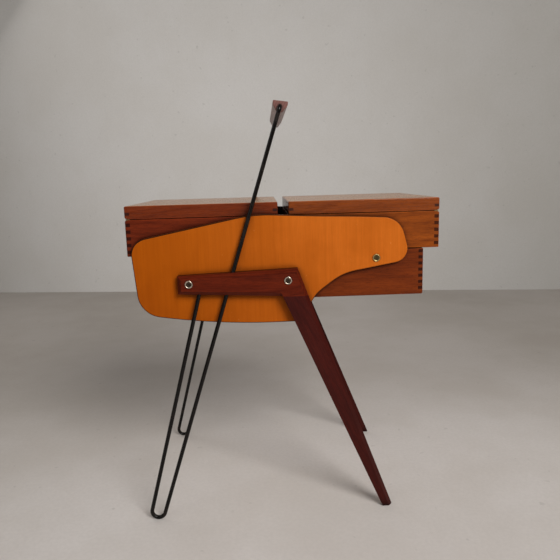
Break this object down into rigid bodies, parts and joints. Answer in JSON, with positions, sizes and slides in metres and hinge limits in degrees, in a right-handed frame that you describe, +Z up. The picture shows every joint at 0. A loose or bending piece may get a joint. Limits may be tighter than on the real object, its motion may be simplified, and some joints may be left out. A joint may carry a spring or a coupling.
{
  "type": "sewing box",
  "caption": "Wooden sewing box with lidded trays that slide apart over a lower box, on shaped side panels with tapered wooden legs, hairpin rod legs and a carrying handle.",
  "frame": {"origin": "on the floor under the middle of the box", "axes": "+X along the box towards the wooden legs, -Y the front side panel, +Z up"},
  "size_m": [0.5, 0.3204, 0.6762],
  "materials": {
    "teak": "satin oiled teak",
    "dark_teak": "satin lacquer, dark red-brown",
    "amber_plywood": "satin amber lacquer over plywood",
    "birch_plywood": "raw birch plywood",
    "beech": "raw beech",
    "black_steel": "semi-gloss black enamel",
    "screw_steel": "darkened steel",
    "brass": "nickel-washed brass",
    "felt": "green wool felt"
  },
  "bodies": {
    "frame": {"lower_box_front_board": "teak", "lower_box_back_board": "teak", "lower_box_left_end": "teak", "lower_box_right_end": "teak", "lower_box_bottom": "birch_plywood", "front_side_panel": "amber_plywood", "back_side_panel": "amber_plywood", "front_arm": "dark_teak", "back_arm": "dark_teak", "front_leg": "dark_teak", "back_leg": "dark_teak", "leg_dowels": "beech", "front_rod": "black_steel", "back_rod": "black_steel", "handle": "dark_teak", "arm_bolts": "screw_steel", "arm_cup_washers": "brass", "arm_bolt_nuts": "screw_steel", "arm_nut_washers": "screw_steel", "panel_screws": "screw_steel", "panel_cup_washers": "brass", "tray_runners": "beech", "runner_screws": "screw_steel"},
    "left_tray": {"left_tray_front_board": "teak", "left_tray_back_board": "teak", "left_tray_inner_end": "teak", "left_tray_outer_end": "teak", "left_tray_bottom": "birch_plywood", "left_tray_divider": "birch_plywood", "left_tray_rest_pads": "felt", "left_hinge_tray_leaf": "brass", "left_hinge_tray_nails": "brass", "left_hinge_pin": "brass"},
    "left_lid": {"left_lid_front_rail": "teak", "left_lid_back_rail": "teak", "left_lid_inner_rail": "teak", "left_lid_outer_rail": "teak", "left_lid_panel": "teak", "left_hinge_lid_leaf": "brass", "left_hinge_lid_nails": "brass"},
    "right_tray": {"right_tray_front_board": "teak", "right_tray_back_board": "teak", "right_tray_inner_end": "teak", "right_tray_outer_end": "teak", "right_tray_bottom": "birch_plywood", "right_tray_divider": "birch_plywood", "right_tray_rest_pads": "felt", "right_hinge_tray_leaf": "brass", "right_hinge_tray_nails": "brass", "right_hinge_pin": "brass"},
    "right_lid": {"right_lid_front_rail": "teak", "right_lid_back_rail": "teak", "right_lid_inner_rail": "teak", "right_lid_outer_rail": "teak", "right_lid_panel": "teak", "right_hinge_lid_leaf": "brass", "right_hinge_lid_nails": "brass"}
  },
  "joints": [
    {"name": "left_tray_slide", "type": "slide", "parent": "frame", "child": "left_tray", "axis": [-1, 0, 0], "range_m": [0, 0.115]},
    {"name": "right_tray_slide", "type": "slide", "parent": "frame", "child": "right_tray", "axis": [1, 0, 0], "range_m": [0, 0.115]},
    {"name": "left_lid_hinge", "type": "hinge", "parent": "left_tray", "child": "left_lid", "pos_m": [-0.247, 0, 0.501], "axis": [0, -1, 0], "range_deg": [0, 100]},
    {"name": "right_lid_hinge", "type": "hinge", "parent": "right_tray", "child": "right_lid", "pos_m": [0.247, 0, 0.501], "axis": [0, 1, 0], "range_deg": [0, 100]}
  ]
}
